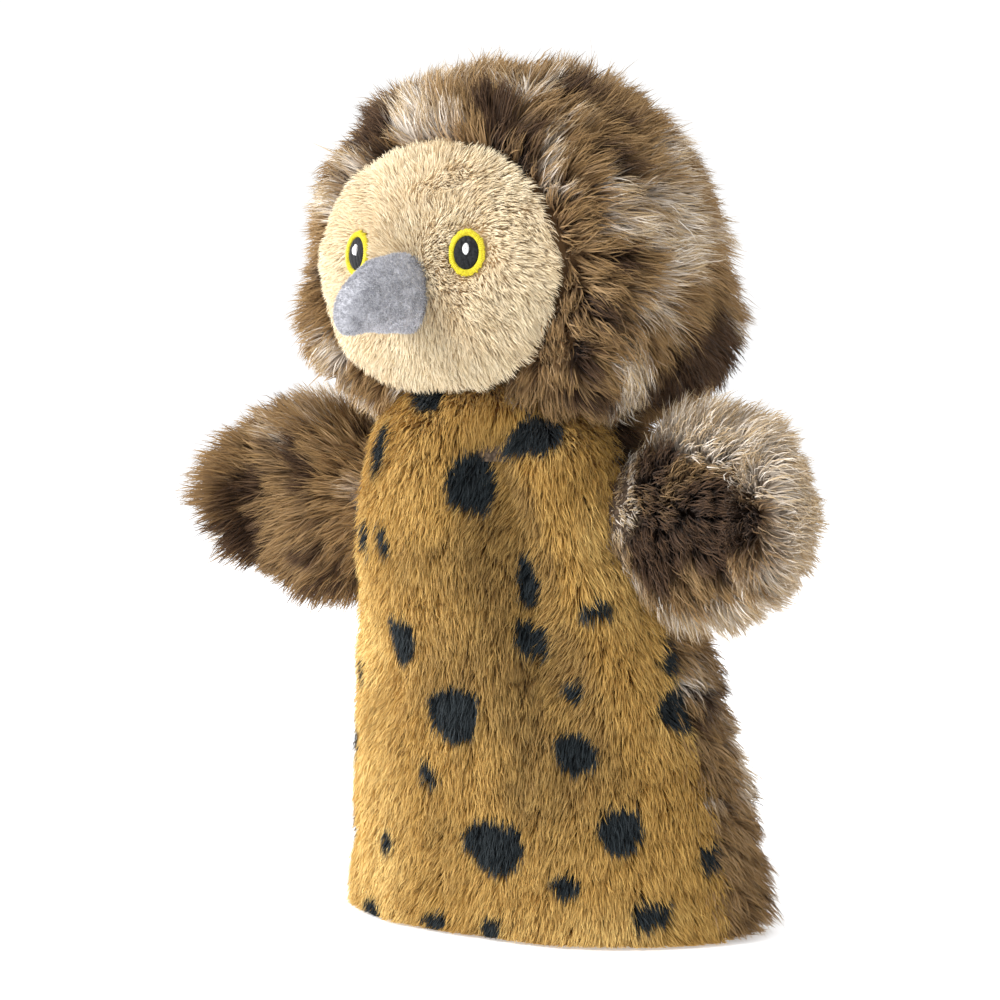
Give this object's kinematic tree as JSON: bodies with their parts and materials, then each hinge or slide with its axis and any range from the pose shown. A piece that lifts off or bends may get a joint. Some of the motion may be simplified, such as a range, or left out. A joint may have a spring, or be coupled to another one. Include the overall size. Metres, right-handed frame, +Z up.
{
  "type": "plush owl glove puppet",
  "caption": "Plush owl hand puppet: a stuffed head that turns and nods, two wings on finger sleeves, open lined body.",
  "frame": {"origin": "centre of the hand opening, in the plane of the hem that the puppet stands on", "axes": "+Z up along the body, the face looks along -Y, the puppet's own left is +X"},
  "size_m": [0.248, 0.1649, 0.28],
  "materials": {
    "ochre_plush": "spotted ochre short-pile plush",
    "brown_plush": "mottled brown long-pile plush",
    "face_plush": "cream short-pile plush",
    "grey_velour": "light grey velour",
    "beak_under_velour": "paler grey velour",
    "lining_cloth": "matte knitted lining",
    "fibre_fill": "polyester fibre fill",
    "yellow_thread": "satin-stitch thread",
    "charcoal_thread": "satin-stitch thread",
    "white_thread": "satin-stitch thread",
    "label_ribbon": "blank woven ribbon"
  },
  "bodies": {
    "torso": {"front_panel": "ochre_plush", "back_panel": "brown_plush", "front_lining": "lining_cloth", "back_lining": "lining_cloth", "hem_facing": "lining_cloth", "care_label": "label_ribbon"},
    "neck": {"neck_sleeve": "lining_cloth"},
    "head": {"crown_left": "brown_plush", "crown_right": "brown_plush", "nape_left": "brown_plush", "nape_right": "brown_plush", "face_panel": "face_plush", "head_base": "lining_cloth", "head_stuffing": "fibre_fill", "head_finger_pocket": "lining_cloth", "beak_upper": "grey_velour", "beak_lower": "beak_under_velour", "beak_stuffing": "fibre_fill", "eye_ring_left": "yellow_thread", "eye_pupil_left": "charcoal_thread", "eye_highlight_left": "white_thread", "eye_ring_right": "yellow_thread", "eye_pupil_right": "charcoal_thread", "eye_highlight_right": "white_thread"},
    "wing_left_shoulder": {"wing_left_sleeve": "lining_cloth"},
    "wing_left": {"wing_left_front_panel": "brown_plush", "wing_left_back_panel": "brown_plush", "wing_left_stuffing": "fibre_fill", "wing_left_finger_pocket": "lining_cloth"},
    "wing_right_shoulder": {"wing_right_sleeve": "lining_cloth"},
    "wing_right": {"wing_right_front_panel": "brown_plush", "wing_right_back_panel": "brown_plush", "wing_right_stuffing": "fibre_fill", "wing_right_finger_pocket": "lining_cloth"}
  },
  "joints": [
    {"name": "neck_turn", "type": "hinge", "parent": "torso", "child": "neck", "pos_m": [0, -0.025, 0.15], "axis": [0, 0, 1], "range_deg": [-25, 25]},
    {"name": "head_nod", "type": "hinge", "parent": "neck", "child": "head", "pos_m": [0, -0.025, 0.15], "axis": [1, 0, 0], "range_deg": [-20, 18]},
    {"name": "wing_left_lift", "type": "hinge", "parent": "torso", "child": "wing_left_shoulder", "pos_m": [0.05, -0.022, 0.136], "axis": [-0.1045, -0.9945, 0], "range_deg": [-20, 20]},
    {"name": "wing_left_swing", "type": "hinge", "parent": "wing_left_shoulder", "child": "wing_left", "pos_m": [0.05, -0.022, 0.136], "axis": [0, 0, -1], "range_deg": [-20, 20]},
    {"name": "wing_right_lift", "type": "hinge", "parent": "torso", "child": "wing_right_shoulder", "pos_m": [-0.05, -0.022, 0.136], "axis": [-0.1045, 0.9945, 0], "range_deg": [-20, 20]},
    {"name": "wing_right_swing", "type": "hinge", "parent": "wing_right_shoulder", "child": "wing_right", "pos_m": [-0.05, -0.022, 0.136], "axis": [0, 0, 1], "range_deg": [-20, 20]}
  ]
}
